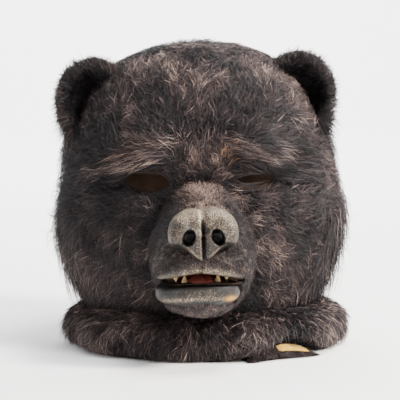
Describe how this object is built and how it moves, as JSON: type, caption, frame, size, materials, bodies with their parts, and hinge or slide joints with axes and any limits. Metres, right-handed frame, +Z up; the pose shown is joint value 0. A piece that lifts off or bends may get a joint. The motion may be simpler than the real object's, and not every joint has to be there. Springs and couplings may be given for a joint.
{
  "type": "bear mask",
  "caption": "Pull-over bear mask of latex under long black fur, with moulded nose, lips, teeth and ears, standing on a wide fur collar backed with cream cloth.",
  "frame": {"origin": "under the middle of the whole mask, on the table that it stands on", "axes": "+Z up, the face looks along -Y, the wearer's left is +X"},
  "size_m": [0.3008, 0.3348, 0.3017],
  "materials": {
    "black_latex": "matt painted latex",
    "black_fur": "long acrylic fake fur, brown-black, loosely clumped",
    "grey_latex": "latex, black base dry-brushed with warm grey",
    "mouth_red": "satin painted latex",
    "tongue_red": "satin painted latex",
    "tooth_ivory": "satin painted latex",
    "cream_cloth": "knitted backing cloth of the fake fur"
  },
  "bodies": {
    "root": {"head_shell": "black_latex", "head_fur": "black_fur", "ear_right": "black_fur", "ear_left": "black_fur", "nose": "grey_latex", "upper_lip": "grey_latex", "lower_lip": "grey_latex", "mouth_lining": "mouth_red", "tongue": "tongue_red", "upper_canine_right": "tooth_ivory", "upper_canine_left": "tooth_ivory", "lower_canine_right": "tooth_ivory", "lower_canine_left": "tooth_ivory", "collar_fur": "black_fur", "collar_backing": "cream_cloth", "turned_hem": "black_fur", "turned_hem_backing": "cream_cloth"}
  },
  "joints": []
}
